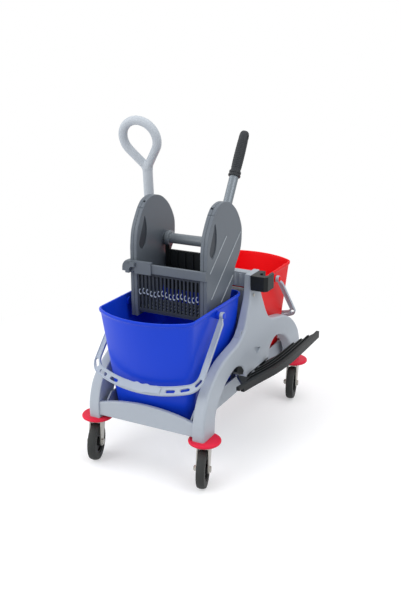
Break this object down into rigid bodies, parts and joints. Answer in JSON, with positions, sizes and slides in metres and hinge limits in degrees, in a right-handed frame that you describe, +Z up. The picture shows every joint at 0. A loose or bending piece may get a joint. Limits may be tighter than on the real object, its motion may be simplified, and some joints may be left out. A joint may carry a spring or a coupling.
{
  "type": "double mop bucket trolley",
  "caption": "Mop trolley with a blue and a red lift-out bucket on a grey caster chassis, a lever wringer, a loop push handle, a mop clip and a mop rest.",
  "frame": {"origin": "on the floor under the middle of the whole trolley's box", "axes": "+Z up from the floor, -Y towards the blue bucket's end, +X towards the mop rest's side"},
  "size_m": [0.4726, 0.7378, 0.8793],
  "materials": {
    "chassis_grey": "moulded, satin",
    "bumper_red": "soft satin",
    "zinc": "zinc plated",
    "hub_plastic": "moulded",
    "tyre": "matt",
    "black_plastic": "moulded, satin",
    "bucket_blue": "semi gloss",
    "bucket_red": "semi gloss",
    "bail_grey": "moulded, satin",
    "wringer_grey": "moulded, satin",
    "lever_alloy": "drawn tube",
    "grip_rubber": "ribbed, matt"
  },
  "bodies": {
    "chassis": {"right_side_panel": "chassis_grey", "left_side_panel": "chassis_grey", "front_bar": "chassis_grey", "rear_bar": "chassis_grey", "base_platform": "chassis_grey", "centre_beam": "chassis_grey", "bridge": "chassis_grey", "front_right_bumper": "bumper_red", "front_left_bumper": "bumper_red", "rear_right_bumper": "bumper_red", "rear_left_bumper": "bumper_red", "front_right_stem": "zinc", "front_left_stem": "zinc", "rear_right_stem": "zinc", "rear_left_stem": "zinc", "handle_socket": "chassis_grey", "push_handle": "chassis_grey", "mop_clip": "black_plastic", "clip_screw": "zinc", "mop_rest": "black_plastic"},
    "front_right_fork": {"front_right_fork": "zinc", "front_right_axle": "zinc"},
    "front_right_wheel": {"front_right_hub": "hub_plastic", "front_right_tyre": "tyre"},
    "front_left_fork": {"front_left_fork": "zinc", "front_left_axle": "zinc"},
    "front_left_wheel": {"front_left_hub": "hub_plastic", "front_left_tyre": "tyre"},
    "rear_right_fork": {"rear_right_fork": "zinc", "rear_right_axle": "zinc"},
    "rear_right_wheel": {"rear_right_hub": "hub_plastic", "rear_right_tyre": "tyre"},
    "rear_left_fork": {"rear_left_fork": "zinc", "rear_left_axle": "zinc"},
    "rear_left_wheel": {"rear_left_hub": "hub_plastic", "rear_left_tyre": "tyre"},
    "blue_bucket": {"blue_bucket": "bucket_blue"},
    "red_bucket": {"red_bucket": "bucket_red"},
    "blue_bail": {"blue_bail": "bail_grey", "blue_bail_grip": "bail_grey"},
    "red_bail": {"red_bail": "bail_grey", "red_bail_grip": "bail_grey"},
    "wringer": {"right_inner_shell": "wringer_grey", "left_inner_shell": "wringer_grey", "right_cheek_cover": "wringer_grey", "left_cheek_cover": "wringer_grey", "wringer_rail": "wringer_grey", "wringer_grille": "wringer_grey", "drain_floor": "wringer_grey", "hanger_rail": "wringer_grey", "rail_hook": "wringer_grey", "shaft_bushes": "wringer_grey", "return_spring": "zinc"},
    "press": {"press_shaft": "wringer_grey", "jaw_plate": "black_plastic", "lever_socket": "wringer_grey", "lever_tube": "lever_alloy", "lever_grip": "grip_rubber"}
  },
  "joints": [
    {"name": "front_right_swivel", "type": "hinge", "parent": "chassis", "child": "front_right_fork", "pos_m": [0.14425, -0.29909, 0.104], "axis": [0, 0, 1], "continuous": true},
    {"name": "front_right_spin", "type": "hinge", "parent": "front_right_fork", "child": "front_right_wheel", "pos_m": [0.15068, -0.32013, 0.05], "axis": [0.9563, 0.2924, 0], "continuous": true},
    {"name": "front_left_swivel", "type": "hinge", "parent": "chassis", "child": "front_left_fork", "pos_m": [-0.17575, -0.29909, 0.104], "axis": [0, 0, 1], "continuous": true},
    {"name": "front_left_spin", "type": "hinge", "parent": "front_left_fork", "child": "front_left_wheel", "pos_m": [-0.16932, -0.32013, 0.05], "axis": [0.9563, 0.2924, 0], "continuous": true},
    {"name": "rear_right_swivel", "type": "hinge", "parent": "chassis", "child": "rear_right_fork", "pos_m": [0.14425, 0.30091, 0.104], "axis": [0, 0, 1], "continuous": true},
    {"name": "rear_right_spin", "type": "hinge", "parent": "rear_right_fork", "child": "rear_right_wheel", "pos_m": [0.14882, 0.27939, 0.05], "axis": [0.9781, 0.2079, 0], "continuous": true},
    {"name": "rear_left_swivel", "type": "hinge", "parent": "chassis", "child": "rear_left_fork", "pos_m": [-0.17575, 0.30091, 0.104], "axis": [0, 0, 1], "continuous": true},
    {"name": "rear_left_spin", "type": "hinge", "parent": "rear_left_fork", "child": "rear_left_wheel", "pos_m": [-0.17118, 0.27939, 0.05], "axis": [0.9781, 0.2079, 0], "continuous": true},
    {"name": "blue_bucket_lift", "type": "slide", "parent": "chassis", "child": "blue_bucket", "axis": [0, 0, 1], "range_m": [0, 0.04]},
    {"name": "red_bucket_lift", "type": "slide", "parent": "chassis", "child": "red_bucket", "axis": [0, 0, 1], "range_m": [0, 0.16]},
    {"name": "blue_bail_swing", "type": "hinge", "parent": "blue_bucket", "child": "blue_bail", "pos_m": [-0.01575, -0.18109, 0.408], "axis": [-1, 0, 0], "range_deg": [0, 125]},
    {"name": "red_bail_swing", "type": "hinge", "parent": "red_bucket", "child": "red_bail", "pos_m": [-0.01575, 0.18291, 0.408], "axis": [1, 0, 0], "range_deg": [0, 162]},
    {"name": "wringer_lift", "type": "slide", "parent": "blue_bucket", "child": "wringer", "axis": [0, 0, 1], "range_m": [0, 0.04]},
    {"name": "press_swing", "type": "hinge", "parent": "wringer", "child": "press", "pos_m": [-0.01575, -0.04409, 0.554], "axis": [-1, 0, 0], "range_deg": [0, 55], "stiffness_Nm_per_rad": 2, "springref_deg": -28.65}
  ]
}
